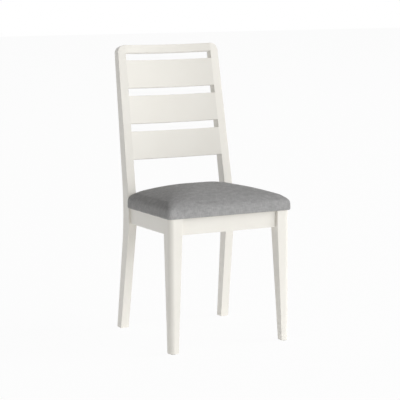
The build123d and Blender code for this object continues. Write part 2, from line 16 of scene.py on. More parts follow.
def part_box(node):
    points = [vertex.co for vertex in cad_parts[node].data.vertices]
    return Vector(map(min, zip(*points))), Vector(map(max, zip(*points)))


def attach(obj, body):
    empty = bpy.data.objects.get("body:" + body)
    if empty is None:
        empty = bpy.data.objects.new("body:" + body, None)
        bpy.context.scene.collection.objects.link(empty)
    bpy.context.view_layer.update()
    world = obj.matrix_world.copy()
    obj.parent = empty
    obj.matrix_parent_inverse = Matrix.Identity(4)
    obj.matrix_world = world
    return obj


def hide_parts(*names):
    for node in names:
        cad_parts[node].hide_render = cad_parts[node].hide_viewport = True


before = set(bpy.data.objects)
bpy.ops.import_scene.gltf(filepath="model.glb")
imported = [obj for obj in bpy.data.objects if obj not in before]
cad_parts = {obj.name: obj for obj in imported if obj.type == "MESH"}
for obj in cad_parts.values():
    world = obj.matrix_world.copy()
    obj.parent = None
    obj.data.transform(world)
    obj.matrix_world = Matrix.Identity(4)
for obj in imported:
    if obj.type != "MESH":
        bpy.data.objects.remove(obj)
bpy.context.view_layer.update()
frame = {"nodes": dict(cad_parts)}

ROOT_BODY = "root"
IMAGE_SIDE = 400  # pixels
MM = 0.001
WHITE = (1.0, 1.0, 1.0, 1.0)
COOL = (0.975, 0.985, 1.0)
NOISE_MIDDLE = (0.3, 0.7)  # range of most of a noise texture's values
NOISE_WHOLE = (0.2, 0.8)  # range of nearly all of them

log = logging.getLogger("slat_back_chair")

Colour = tuple[float, float, float]
Point = tuple[float, float, float]


class GrainAxis(Enum):
    """Direction that the grain of a wooden piece runs in."""

    ACROSS = (1.0, 0.0, 0.0)
    BACK = (0.0, 1.0, 0.0)
    UPRIGHT = (0.0, 0.0, 1.0)


class SocketKind(Enum):
    """Socket types of the shader groups."""

    VALUE = "NodeSocketFloat"
    VECTOR = "NodeSocketVector"


def linear(red: int, green: int, blue: int) -> tuple[float, float, float, float]:
    """Turn a display colour into Blender's linear colour.

    Args:
        red: Red from 0 to 255.
        green: Green from 0 to 255.
        blue: Blue from 0 to 255.

    Returns:
        Linear red, green, blue and an alpha of 1.
    """

    def channel(value: int) -> float:
        """Decode one channel."""
        share = value / 255
        return share / 12.92 if share <= 0.04045 else ((share + 0.055) / 1.055) ** 2.4

    return channel(red), channel(green), channel(blue), 1.0


class NodeGraph:
    """Short way to add nodes to a shader tree and to join them."""

    mix_inputs = (0, 6, 7)  # the Mix node's sockets for the share and its two colours
    mix_output = 2

    def __init__(self, tree: bpy.types.NodeTree) -> None:
        """Keep the tree that nodes are added to."""
        self.tree = tree

    def add(self, kind: str, inputs: dict | None = None, **settings: object) -> bpy.types.Node:
        """Add a node.

        Args:
            kind: Blender's name of the node type.
            inputs: Values or sockets for the node's inputs, by name or number.
            settings: Properties of the node, set before its inputs.

        Returns:
            The new node.
        """
        node = self.tree.nodes.new(kind)
        for name, value in settings.items():
            setattr(node, name, value)
        for name, value in (inputs or {}).items():
            self.feed(node.inputs[name], value)
        return node

    def feed(self, socket: bpy.types.NodeSocket, value: object) -> None:
        """Link a socket, or set a plain value.

        Args:
            socket: Input to feed.
            value: Socket to link to it, or its value.
        """
        if isinstance(value, bpy.types.NodeSocket):
            self.tree.links.new(value, socket)
        else:
            socket.default_value = value

    def math(self, operation: str, first: object, second: object = 0.0) -> bpy.types.NodeSocket:
        """Add a math node and return its result."""
        return self.add("ShaderNodeMath", {0: first, 1: second}, operation=operation).outputs[0]

    def scaled(self, vector: object, scale: Point) -> bpy.types.NodeSocket:
        """Multiply a vector by a scale for each axis and return the result."""
        node = self.add("ShaderNodeVectorMath", {0: vector, 1: scale}, operation="MULTIPLY")
        return node.outputs[0]

    def noise(self, vector: object, scale: object, detail: float = 2.0) -> bpy.types.NodeSocket:
        """Add a noise texture and return its value."""
        inputs = {"Vector": vector, "Scale": scale, "Detail": detail}
        return self.add("ShaderNodeTexNoise", inputs).outputs["Fac"]

    def remap(
        self, value: object, low: float, high: float, to_low: float, to_high: float
    ) -> bpy.types.NodeSocket:
        """Map a range of a value onto another, without going past it.

        Args:
            value: Socket to map.
            low: Value that becomes to_low.
            high: Value that becomes to_high.
            to_low: Result at low.
            to_high: Result at high.

        Returns:
            The mapped socket.
        """
        inputs = {0: value, 1: low, 2: high, 3: to_low, 4: to_high}
        return self.add("ShaderNodeMapRange", inputs).outputs[0]

    def blend(self, share: object, first: object, second: object) -> bpy.types.NodeSocket:
        """Mix two colours by a share.

        Args:
            share: Share of the second colour.
            first: Colour at a share of 0.
            second: Colour at a share of 1.

        Returns:
            The mixed colour.
        """
        inputs = dict(zip(self.mix_inputs, (share, first, second)))
        return self.add("ShaderNodeMix", inputs, data_type="RGBA").outputs[self.mix_output]


class ShaderGroup:
    """Shader effect that several materials share, built once."""

    name = ""
    inputs: dict[str, SocketKind] = {}
    outputs: dict[str, SocketKind] = {}

    def __init__(self) -> None:
        """Make the group's tree and sockets, then its nodes."""
        self.tree = bpy.data.node_groups.new(self.name, "ShaderNodeTree")
        for side, sockets in (("INPUT", self.inputs), ("OUTPUT", self.outputs)):
            for label, kind in sockets.items():
                self.tree.interface.new_socket(label, in_out=side, socket_type=kind.value)
        graph = NodeGraph(self.tree)
        given = graph.add("NodeGroupInput").outputs
        result = self.build(graph, given)
        graph.add("NodeGroupOutput", result)

    def build(self, graph: NodeGraph, given: bpy.types.NodeOutputs) -> dict:
        """Make the nodes.

        Args:
            graph: Graph of the group's tree.
            given: Sockets of the group's inputs.

        Returns:
            The socket for each output name.
        """
        raise NotImplementedError

    def place(self, graph: NodeGraph, values: dict) -> bpy.types.NodeOutputs:
        """Use the group in a material.

        Args:
            graph: The material's graph.
            values: Values or sockets for the group's inputs.

        Returns:
            The group node's outputs.
        """
        node = graph.add("ShaderNodeGroup", node_tree=self.tree)
        for label, value in values.items():
            graph.feed(node.inputs[label], value)
        return node.outputs


class GrainGroup(ShaderGroup):
    """Wood grain: long fibres, growth bands and open pores, drawn out along the last axis."""

    name = "wood_grain"
    inputs = {"Vector": SocketKind.VECTOR, "Band Scale": SocketKind.VALUE}
    outputs = {"Bands": SocketKind.VALUE, "Fibres": SocketKind.VALUE, "Pores": SocketKind.VALUE}
    fibre_stretch = (1.0, 1.0, 0.025)
    band_stretch = (1.0, 1.0, 0.06)
    fibre_scale = 900.0
    pore_scale = 1500.0
    pore_span = (0.6, 0.72)
    sway_scale = 18.0
    band_distortion = 3.0
    least_band = 0.4

    def build(self, graph: NodeGraph, given: bpy.types.NodeOutputs) -> dict:
        """Make the bands, fibres and pores; see the base class."""
        vector = given["Vector"]
        drawn_out = graph.scaled(vector, self.fibre_stretch)
        fibres = graph.noise(drawn_out, self.fibre_scale, 4.0)
        pores = graph.remap(graph.noise(drawn_out, self.pore_scale, 1.0), *self.pore_span, 0.0, 1.0)
        banded = graph.scaled(vector, self.band_stretch)
        sway = graph.noise(banded, self.sway_scale, 2.0)
        inputs = {"Vector": banded, "Scale": given["Band Scale"], "Detail": 2.0}
        inputs["Distortion"] = self.band_distortion
        wave = graph.add("ShaderNodeTexWave", inputs, bands_direction="X").outputs["Fac"]
        bands = graph.math("MULTIPLY", wave, graph.remap(sway, *NOISE_MIDDLE, self.least_band, 1.0))
        return {"Bands": bands, "Fibres": fibres, "Pores": pores}


class HandlingGroup(ShaderGroup):
    """Slow unevenness of a worked surface: cloudy tone, fine specks and smudged gloss."""

    name = "handling"
    inputs = {"Vector": SocketKind.VECTOR, "Speck Scale": SocketKind.VALUE}
    outputs = {"Cloud": SocketKind.VALUE, "Specks": SocketKind.VALUE, "Smudge": SocketKind.VALUE}
    cloud_scale = 9.0
    smudge_scale = 26.0
    speck_span = (0.35, 0.65)

    def build(self, graph: NodeGraph, given: bpy.types.NodeOutputs) -> dict:
        """Make the clouds, specks and smudges; see the base class."""
        vector = given["Vector"]
        specks = graph.noise(vector, given["Speck Scale"], 1.0)
        return {
            "Cloud": graph.noise(vector, self.cloud_scale, 3.0),
            "Specks": graph.remap(specks, *self.speck_span, 0.0, 1.0),
            "Smudge": graph.noise(vector, self.smudge_scale, 4.0),
        }


class WeaveGroup(ShaderGroup):
    """Plain weave of uneven yarns: threads over and under, slubs along both and a slow mottling."""

    name = "plain_weave"
    inputs = {"Vector": SocketKind.VECTOR, "Pitch": SocketKind.VALUE}
    outputs = {"Height": SocketKind.VALUE, "Slubs": SocketKind.VALUE, "Cross": SocketKind.VALUE}
    warp_slub = (340.0, 60.0, 1.0)
    weft_slub = (40.0, 340.0, 1.0)
    mottle = (46.0, 52.0, 1.0)
    shares = (0.35, 0.3, 0.35)  # of the warp slubs, the weft slubs and the mottling
    slub_span = (0.35, 0.65)
    slub_rise = 0.9
    sway_scale = 60.0
    sway_reach = (MM, MM, 0.0)

    def build(self, graph: NodeGraph, given: bpy.types.NodeOutputs) -> dict:
        """Make the threads and slubs; see the base class."""
        vector = given["Vector"]
        inputs = {"Vector": vector, "Scale": self.sway_scale, "Detail": 1.0}
        sway = graph.add("ShaderNodeTexNoise", inputs).outputs["Color"]
        wander = graph.scaled(sway, self.sway_reach)
        moved = graph.add("ShaderNodeVectorMath", {0: vector, 1: wander}, operation="ADD").outputs[0]
        axes = graph.add("ShaderNodeSeparateXYZ", {0: moved}).outputs
        waves = []
        for axis in ("X", "Y"):
            turns = graph.math("DIVIDE", axes[axis], given["Pitch"])
            waves.append(graph.math("SINE", graph.math("MULTIPLY", turns, pi)))
        over = graph.math("GREATER_THAN", graph.math("MULTIPLY", waves[0], waves[1]), 0.0)
        warp = graph.math("ABSOLUTE", waves[0])
        weft = graph.math("ABSOLUTE", waves[1])
        under = graph.math("SUBTRACT", 1.0, over)
        tops = [graph.math("MULTIPLY", *pair) for pair in ((warp, over), (weft, under))]
        threads = graph.math("ADD", *tops)
        slubs = 0.0
        for stretch, share in zip((self.warp_slub, self.weft_slub, self.mottle), self.shares):
            uneven = graph.noise(graph.scaled(vector, stretch), 1.0, 2.0)
            slubs = graph.math("ADD", graph.math("MULTIPLY", uneven, share), slubs)
        height = graph.math("ADD", threads, graph.remap(slubs, *self.slub_span, 0.0, self.slub_rise))
        return {"Height": height, "Slubs": slubs, "Cross": threads}


class SheetGroup(ShaderGroup):
    """Lays a pad's surface out flat, as the one sheet of cloth that is pulled over it."""

    name = "cover_sheet"
    inputs = {"Vector": SocketKind.VECTOR, "Crown": SocketKind.VECTOR, "Half Size": SocketKind.VECTOR}
    outputs = {"Sheet": SocketKind.VECTOR}
    squareness = 4.0
    least_pull = 0.001  # keeps the crown's middle from a division by nothing

    def build(self, graph: NodeGraph, given: bpy.types.NodeOutputs) -> dict:
        """Make the flat coordinates; see the base class."""
        inputs = {0: given["Vector"], 1: given["Crown"]}
        away = graph.add("ShaderNodeVectorMath", inputs, operation="SUBTRACT").outputs[0]
        inputs = {0: away, 1: given["Half Size"]}
        shares = graph.add("ShaderNodeVectorMath", inputs, operation="DIVIDE").outputs[0]
        place = graph.add("ShaderNodeSeparateXYZ", {0: away}).outputs
        share = graph.add("ShaderNodeSeparateXYZ", {0: shares}).outputs
        pulls = {}
        for axis in ("X", "Y"):
            size = graph.math("ABSOLUTE", share[axis])
            pulls[axis] = graph.math("POWER", size, self.squareness)
        whole = graph.math("ADD", graph.math("ADD", pulls["X"], pulls["Y"]), self.least_pull)
        flat = {}
        for axis in ("X", "Y"):
            part = graph.math("MULTIPLY", graph.math("DIVIDE", pulls[axis], whole), place["Z"])
            outwards = graph.math("MULTIPLY", graph.math("SIGN", place[axis]), part)
            flat[axis] = graph.math("SUBTRACT", place[axis], outwards)
        return {"Sheet": graph.add("ShaderNodeCombineXYZ", flat).outputs[0]}


@dataclass(frozen=True)
class SharedEffects:
    """The shader groups that the finishes use."""

    grain: GrainGroup
    handling: HandlingGroup
    weave: WeaveGroup
    sheet: SheetGroup


class MaterialSheet:
    """A new material with its Principled shader and object coordinates."""

    def __init__(self, name: str) -> None:
        """Make the material.

        Args:
            name: Name of the material.
        """
        self.material = bpy.data.materials.new(name)
        self.material.use_nodes = True
        self.graph = NodeGraph(self.material.node_tree)
        self.shader = self.material.node_tree.nodes["Principled BSDF"]
        self.coordinates = self.graph.add("ShaderNodeTexCoord").outputs["Object"]

    def along(self, axis: GrainAxis) -> bpy.types.NodeSocket:
        """Turn the object's coordinates along a grain.

        Args:
            axis: Direction of the grain.

        Returns:
            Coordinates whose Z runs along it.
        """
        turns = {
            GrainAxis.ACROSS: (0.0, -pi / 2, 0.0),
            GrainAxis.BACK: (pi / 2, 0.0, 0.0),
            GrainAxis.UPRIGHT: (0.0, 0.0, 0.0),
        }
        node = self.graph.add("ShaderNodeMapping", {"Vector": self.coordinates, "Rotation": turns[axis]})
        return node.outputs[0]

    def set(self, **values: object) -> None:
        """Set or link the shader's inputs, with underscores for spaces."""
        for name, value in values.items():
            self.graph.feed(self.shader.inputs[name.replace("_", " ")], value)

    def bump(self, height: object, distance: float, strength: float = 1.0) -> None:
        """Raise the surface by a height socket.

        Args:
            height: Socket with heights from 0 to 1.
            distance: Depth in metres.
            strength: Share of the effect.
        """
        inputs = {"Height": height, "Distance": distance, "Strength": strength}
        self.set(Normal=self.graph.add("ShaderNodeBump", inputs).outputs["Normal"])


@dataclass(frozen=True)
class PaintedWood:
    """Satin off-white paint over close-grained hardwood."""

    grain: GrainAxis
    light: Colour = (237, 234, 226)
    shade: Colour = (232, 228, 219)
    roughness: float = 0.46
    roughness_spread: float = 0.06
    specular: float = 0.5
    coat: float = 0.8
    coat_roughness: float = 0.4
    grain_depth: float = 0.00006
    band_scale: float = 60.0
    speck_scale: float = 700.0
    least_fibre: float = 0.7
    pore_depth: float = 0.6
    speck_rise: float = 0.5

    def material(self, effects: SharedEffects) -> bpy.types.Material:
        """Build the paint: grain that telegraphs through, roller specks and slight clouding.

        Args:
            effects: Shared shader groups.

        Returns:
            The material.
        """
        sheet = MaterialSheet(f"painted_wood_{self.grain.name.lower()}")
        graph = sheet.graph
        vector = sheet.along(self.grain)
        wood = effects.grain.place(graph, {"Vector": vector, "Band Scale": self.band_scale})
        film = effects.handling.place(graph, {"Vector": vector, "Speck Scale": self.speck_scale})
        fibres = graph.remap(wood["Fibres"], *NOISE_WHOLE, self.least_fibre, 1.0)
        tone = graph.math("MULTIPLY", film["Cloud"], fibres)
        sheet.set(Base_Color=graph.blend(tone, linear(*self.light), linear(*self.shade)))
        rough = (self.roughness - self.roughness_spread, self.roughness + self.roughness_spread)
        sheet.set(Roughness=graph.remap(film["Smudge"], *NOISE_MIDDLE, *rough))
        sheet.set(Specular_IOR_Level=self.specular)
        sheet.set(Coat_Weight=self.coat, Coat_Roughness=self.coat_roughness)
        pores = graph.math("MULTIPLY", wood["Pores"], self.pore_depth)
        specks = graph.math("MULTIPLY", film["Specks"], self.speck_rise)
        relief = graph.math("SUBTRACT", wood["Fibres"], pores)
        sheet.bump(graph.math("ADD", relief, specks), self.grain_depth)
        return sheet.material


@dataclass(frozen=True)
class BareWood:
    """Unpainted wood of the blocks, dowels and the layers of the board."""

    name: str
    grain: GrainAxis
    early: Colour = (214, 182, 138)
    late: Colour = (176, 136, 92)
    roughness: float = 0.72
    roughness_spread: float = 0.1
    grain_depth: float = 0.00012
    band_scale: float = 46.0
    speck_scale: float = 300.0
    band_share: float = 0.6
    pore_share: float = 0.4
    cloud_span: tuple[float, float] = (0.7, 1.1)

    def material(self, effects: SharedEffects) -> bpy.types.Material:
        """Build the wood: growth bands, fibres and pores.

        Args:
            effects: Shared shader groups.

        Returns:
            The material.
        """
        sheet = MaterialSheet(self.name)
        graph = sheet.graph
        vector = sheet.along(self.grain)
        wood = effects.grain.place(graph, {"Vector": vector, "Band Scale": self.band_scale})
        worked = effects.handling.place(graph, {"Vector": vector, "Speck Scale": self.speck_scale})
        bands = graph.math("MULTIPLY", wood["Bands"], self.band_share)
        pores = graph.math("MULTIPLY", wood["Pores"], self.pore_share)
        cloud = graph.remap(worked["Cloud"], *NOISE_MIDDLE, *self.cloud_span)
        share = graph.math("MULTIPLY", graph.math("ADD", bands, pores), cloud)
        sheet.set(Base_Color=graph.blend(share, linear(*self.early), linear(*self.late)))
        rough = (self.roughness - self.roughness_spread, self.roughness + self.roughness_spread)
        sheet.set(Roughness=graph.remap(wood["Fibres"], *NOISE_WHOLE, *rough))
        sheet.bump(graph.math("SUBTRACT", wood["Fibres"], wood["Pores"]), self.grain_depth)
        return sheet.material


@dataclass(frozen=True)
class CoverFabric:
    """Mid-grey plain weave of uneven yarns with pale flecks."""

    crown: Point
    half_size: Point
    pale: Colour = (183, 182, 181)
    deep: Colour = (161, 160, 159)
    fleck: Colour = (200, 199, 198)
    pitch: float = 0.0013
    depth: float = 0.0004
    least_roughness: float = 0.87
    specular: float = 0.1
    speck_scale: float = 260.0
    yarn_span: tuple[float, float] = (0.4, 0.6)
    fleck_span: tuple[float, float] = (0.58, 0.7)
    fleck_share: float = 0.4
    # painted shade where the threads dip between one another: the thread height below which it starts, and
    # its darkest share
    thread_shade_height: float = 0.6
    thread_shade_share: float = 0.2

    def material(self, effects: SharedEffects) -> bpy.types.Material:
        """Build the cover: woven threads with slubs, a soft nap and painted shade where the threads dip.

        Args:
            effects: Shared shader groups.

        Returns:
            The material.
        """
        sheet = MaterialSheet("grey_cover_fabric")
        graph = sheet.graph
        laid_out = {"Vector": sheet.coordinates, "Crown": self.crown, "Half Size": self.half_size}
        flat = effects.sheet.place(graph, laid_out)["Sheet"]
        weave = effects.weave.place(graph, {"Vector": flat, "Pitch": self.pitch})
        nap = effects.handling.place(graph, {"Vector": sheet.coordinates, "Speck Scale": self.speck_scale})
        paleness = graph.remap(weave["Slubs"], *self.yarn_span, 0.0, 1.0)
        yarn = graph.blend(paleness, linear(*self.deep), linear(*self.pale))
        flecked = graph.remap(weave["Slubs"], *self.fleck_span, 0.0, self.fleck_share)
        yarn = graph.blend(graph.math("MULTIPLY", flecked, nap["Specks"]), yarn, linear(*self.fleck))
        # painted shade: the yarn colour is darkened towards the deep tone where the threads lie low
        painted_thread_shade = graph.remap(weave["Cross"], 0.0, self.thread_shade_height, self.thread_shade_share, 0.0)
        sheet.set(Base_Color=graph.blend(painted_thread_shade, yarn, linear(*self.deep)))
        sheet.set(Roughness=graph.remap(nap["Smudge"], *NOISE_MIDDLE, self.least_roughness, 1.0))
        sheet.set(Specular_IOR_Level=self.specular)
        sheet.bump(weave["Height"], self.depth)
        return sheet.material


@dataclass(frozen=True)
class SpunCloth:
    """Thin black spun cloth of the dust cover."""

    dark: Colour = (26, 26, 27)
    bright: Colour = (58, 58, 60)
    roughness: tuple[float, float] = (0.75, 0.95)
    speck_scale: float = 900.0
    speck_depth: float = 0.0003

    def material(self, effects: SharedEffects) -> bpy.types.Material:
        """Build the cloth: pressed fibres and bond points.

        Args:
            effects: Shared shader groups.

        Returns:
            The material.
        """
        sheet = MaterialSheet("spun_dust_cover")
        graph = sheet.graph
        felt = effects.handling.place(graph, {"Vector": sheet.coordinates, "Speck Scale": self.speck_scale})
        share = graph.math("MULTIPLY", felt["Specks"], felt["Cloud"])
        sheet.set(Base_Color=graph.blend(share, linear(*self.dark), linear(*self.bright)))
        sheet.set(Roughness=graph.remap(felt["Smudge"], *NOISE_MIDDLE, *self.roughness))
        sheet.bump(felt["Specks"], self.speck_depth)
        return sheet.material


@dataclass(frozen=True)
class PlatedSteel:
    """Zinc-plated steel of the screws and staples."""

    clean: Colour = (196, 196, 192)
    dull: Colour = (150, 148, 140)
    roughness: tuple[float, float] = (0.28, 0.5)
    speck_scale: float = 1200.0
    speck_depth: float = 0.00005

    def material(self, effects: SharedEffects) -> bpy.types.Material:
        """Build the metal: dull clouds over the plating.

        Args:
            effects: Shared shader groups.

        Returns:
            The material.
        """
        sheet = MaterialSheet("plated_steel")
        graph = sheet.graph
        plate = effects.handling.place(graph, {"Vector": sheet.coordinates, "Speck Scale": self.speck_scale})
        sheet.set(Base_Color=graph.blend(plate["Smudge"], linear(*self.clean), linear(*self.dull)))
        sheet.set(Metallic=1.0, Roughness=graph.remap(plate["Specks"], 0.0, 1.0, *self.roughness))
        sheet.bump(plate["Specks"], self.speck_depth)
        return sheet.material


@dataclass(frozen=True)
class MouldedNylon:
    """Grey moulded nylon of the foot glides."""

    face: Colour = (150, 148, 143)
    scuffed: Colour = (178, 176, 170)
    roughness: tuple[float, float] = (0.45, 0.6)
    speck_scale: float = 1500.0
    speck_depth: float = 0.00006

    def material(self, effects: SharedEffects) -> bpy.types.Material:
        """Build the plastic: fine moulded texture with scuffs.

        Args:
            effects: Shared shader groups.

        Returns:
            The material.
        """
        sheet = MaterialSheet("moulded_nylon")
        graph = sheet.graph
        skin = effects.handling.place(graph, {"Vector": sheet.coordinates, "Speck Scale": self.speck_scale})
        sheet.set(Base_Color=graph.blend(skin["Smudge"], linear(*self.face), linear(*self.scuffed)))
        sheet.set(Roughness=graph.remap(skin["Cloud"], *NOISE_MIDDLE, *self.roughness))
        sheet.bump(skin["Specks"], self.speck_depth)
        return sheet.material


def dress(node: bpy.types.Object, material: bpy.types.Material) -> None:
    """Give an object one material and report it.

    Args:
        node: Object to dress.
        material: Its finish.
    """
    node.data.materials.clear()
    node.data.materials.append(material)
    log.info("dressed %s in %s", node.name, material.name)


def settle(obj: bpy.types.Object) -> None:
    """Turn an object's modifiers into its own mesh.

    Args:
        obj: Object to change.
    """
    depsgraph = bpy.context.evaluated_depsgraph_get()
    mesh = bpy.data.meshes.new_from_object(obj.evaluated_get(depsgraph), depsgraph=depsgraph)
    obj.modifiers.clear()
    old = obj.data
    obj.data = mesh
    bpy.data.meshes.remove(old)
    mesh.name = obj.name


@dataclass
class WoodenFrame:
    """Painted seat frame, legs, posts and back, with the bare wood and metal that hold them."""

    upright: tuple[str, ...] = ("front_leg_left", "front_leg_right", "back_post_left", "back_post_right")
    across: tuple[str, ...] = (
        "crest_rail", "upper_slat", "middle_slat", "lower_slat", "front_rail", "rear_rail",
    )
    endways: tuple[str, ...] = ("side_rail_left", "side_rail_right")
    blocks: tuple[str, ...] = (
        "front_corner_block_left", "front_corner_block_right",
        "rear_corner_block_left", "rear_corner_block_right",
    )
    screws: tuple[str, ...] = ("corner_block_screws", "seat_screws")
    glides: tuple[str, ...] = (
        "front_glide_left", "front_glide_right", "rear_glide_left", "rear_glide_right",
    )

    def dress(self, nodes: dict, effects: SharedEffects) -> None:
        """Give each node of the frame its finish.

        Args:
            nodes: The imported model's objects by name.
            effects: Shared shader groups.
        """
        finishes = {
            self.upright: PaintedWood(GrainAxis.UPRIGHT),
            self.across: PaintedWood(GrainAxis.ACROSS),
            self.endways: PaintedWood(GrainAxis.BACK),
            self.blocks: BareWood("bare_block_wood", GrainAxis.ACROSS),
            ("rail_dowels",): BareWood("bare_dowel_wood", GrainAxis.ACROSS),
            self.screws: PlatedSteel(),
            self.glides: MouldedNylon(),
        }
        for names, finish in finishes.items():
            material = finish.material(effects)
            for name in names:
                dress(nodes[name], material)


@dataclass
class SeatPad:
    """Crowned seat pad, drawn on the seat plane.

    On that plane X runs across, Y back from the front legs' faces and Z off the seat frame.
    """

    frame_height: float = 0.453
    pitch: float = 1.5  # degrees
    front_half: float = 0.232
    rear_half: float = 0.2145
    frame_depth: float = 0.366
    overhang: float = 0.006
    rear: float = 0.400
    edge_height: float = 0.037
    shoulder: float = 0.015
    crown: float = 0.05  # above the edge
    corner_radius: float = 0.014
    rounding: float = 0.8  # how nearly round the crown's top is
    rest_inset: float = 0.0055  # where the underside leaves the frame's faces
    hang: float = 0.0025  # of the lower edge, past the frame's top
    hang_inset: float = 0.0008
    hang_height: float = 0.004
    post_clearance: float = 0.0015
    start_drop: float = 0.0025  # of the crown, before it swells
    ring_points: int = 25
    levels: int = 26
    last_level: float = 0.95  # share of the way in
    level_spacing: float = 1.6  # power that crowds the levels at the edge
    voxel: float = 0.004
    cloth_quality: int = 6
    cloth_mass: float = 0.3
    stretch_stiffness: float = 20.0
    bending_stiffness: float = 1.5
    pressure: float = 4.0
    frames: int = 20
    most_swell: float = 0.0025
    most_draw_in: float = 0.0005
    held_height: float = 0.004
    easing: float = 0.5
    easing_rounds: int = 2

    @property
    def half_depth(self) -> float:
        """Half the pad's depth."""
        return (self.rear + self.overhang) / 2

    def half_width(self, setback: float) -> float:
        """Half the pad's width at a distance behind the legs' faces."""
        return self.front_half - (self.front_half - self.rear_half) * setback / self.frame_depth

    def height(self, inset: float) -> float:
        """Height of the crown at a distance in from the outline.

        Args:
            inset: Distance in from the outline.

        Returns:
            Height above the seat frame.
        """
        share = min(inset / self.half_depth, 1.0)
        inside = self.shoulder - min(inset, self.shoulder)
        rise = sqrt(self.shoulder**2 - inside**2)
        crown = self.crown * (1 - (1 - share) ** 2)
        return self.edge_height - self.shoulder + rise + crown

    def ring(self, inset: float, height: float) -> list[Vector]:
        """Rounded outline drawn in by an inset.

        Args:
            inset: Distance in from the pad's outline.
            height: Height above the seat frame.

        Returns:
            Points in order round the pad, with as many at every inset.
        """
        front, rear = inset - self.overhang, self.rear - inset
        share = inset / self.half_depth
        radius = self.corner_radius * (1 - share) + self.rounding * (self.half_depth - inset) * share
        corners = [
            Vector((self.half_width(front) - inset, front)),
            Vector((self.half_width(rear) - inset, rear)),
            Vector((inset - self.half_width(rear), rear)),
            Vector((inset - self.half_width(front), front)),
        ]
        points = []
        for i, corner in enumerate(corners):
            before = (corners[i - 1] - corner).normalized()
            after = (corners[(i + 1) % 4] - corner).normalized()
            opening = before.angle(after)
            reach = radius / tan(opening / 2)
            middle = corner + (before + after).normalized() * (radius / sin(opening / 2))
            start = corner + before * reach - middle
            end = corner + after * reach - middle
            turn = start.angle_signed(end)
            for step in range(self.ring_points):
                angle = -turn * step / (self.ring_points - 1)
                spoke = Matrix.Rotation(angle, 2) @ start
                points.append(middle + spoke)
            next_corner = corners[(i + 1) % 4]
            next_opening = (-after).angle(corners[(i + 2) % 4] - next_corner)
            next_reach = radius / tan(next_opening / 2)
            begin = corner + after * reach
            finish = next_corner - after * next_reach
            for step in range(1, self.ring_points):
                points.append(begin.lerp(finish, step / self.ring_points))
        return [Vector((p.x, p.y, height)) for p in points]

    def seat_plane(self) -> Matrix:
        """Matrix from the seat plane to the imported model's frame."""
        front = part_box("front_leg_left")[0].y
        tilt = Matrix.Rotation(-radians(self.pitch), 4, "X")
        return Matrix.Translation((0, front, self.frame_height)) @ tilt

    def start_form(self) -> bpy.types.Object:
        """Make the crowned form, a little smaller than the finished pad.

        Returns:
            A closed mesh object on the seat plane, cut out round the posts.
        """
        lip = [(self.rest_inset, 0.0), (self.rest_inset, -self.hang), (self.hang_inset, -self.hang)]
        profile = [*lip, (0.0, self.hang_height)]
        for step in range(self.levels + 1):
            part = step / self.levels
            inset = self.last_level * part**self.level_spacing * self.half_depth
            profile.append((inset, self.height(inset) - self.start_drop * part))
        mesh = bmesh.new()
        rings = [[mesh.verts.new(p) for p in self.ring(*level)] for level in profile]
        count = len(rings[0])
        for lower, upper in zip(rings, rings[1:]):
            for i in range(count):
                j = (i + 1) % count
                mesh.faces.new((lower[i], lower[j], upper[j], upper[i]))
        mesh.faces.new(reversed(rings[0]))
        mesh.faces.new(rings[-1])
        bmesh.ops.recalc_face_normals(mesh, faces=mesh.faces)
        data = bpy.data.meshes.new("seat_pad")
        mesh.to_mesh(data)
        mesh.free()
        pad = bpy.data.objects.new("seat_pad", data)
        pad.matrix_world = self.seat_plane()
        bpy.context.scene.collection.objects.link(pad)
        self.cut_notches(pad)
        return pad

    def cut_notches(self, pad: bpy.types.Object) -> None:
        """Cut the pad out round the posts.

        Args:
            pad: The pad's start form.
        """
        mesh = bmesh.new()
        room = self.post_clearance + self.most_swell
        top = self.frame_height + self.edge_height + self.crown
        for side in ("left", "right"):
            inner, front = self.post_corner(side, top)
            sign = 1 if inner > 0 else -1
            low = Vector((inner - sign * room, front - room, 0))
            size = Vector((sign * self.front_half, self.frame_depth, 2 * top))
            place = Matrix.Translation(low + size / 2) @ Matrix.Diagonal((*size, 1))
            bmesh.ops.create_cube(mesh, size=1, matrix=place)
        bmesh.ops.recalc_face_normals(mesh, faces=mesh.faces)
        data = bpy.data.meshes.new("post_room")
        mesh.to_mesh(data)
        mesh.free()
        cutter = bpy.data.objects.new("post_room", data)
        bpy.context.scene.collection.objects.link(cutter)
        cut = pad.modifiers.new("post_room", "BOOLEAN")
        cut.operation = "DIFFERENCE"
        cut.solver = "EXACT"
        cut.object = cutter
        settle(pad)
        bpy.data.objects.remove(cutter)
        bpy.data.meshes.remove(data)

    def post_corner(self, side: str, top: float) -> tuple[float, float]:
        """Inner face and front face of a post beside the pad.

        Args:
            side: "left" or "right".
            top: Height of the pad's top.

        Returns:
            X of the post's inner face and Y of its front face there.
        """
        points = [v.co for v in frame["nodes"][f"back_post_{side}"].data.vertices]
        beside = [p for p in points if self.frame_height < p.z < top + self.shoulder]
        inner = min(abs(p.x) for p in beside)
        front = min(p.y for p in points)
        return (inner if side == "right" else -inner), front

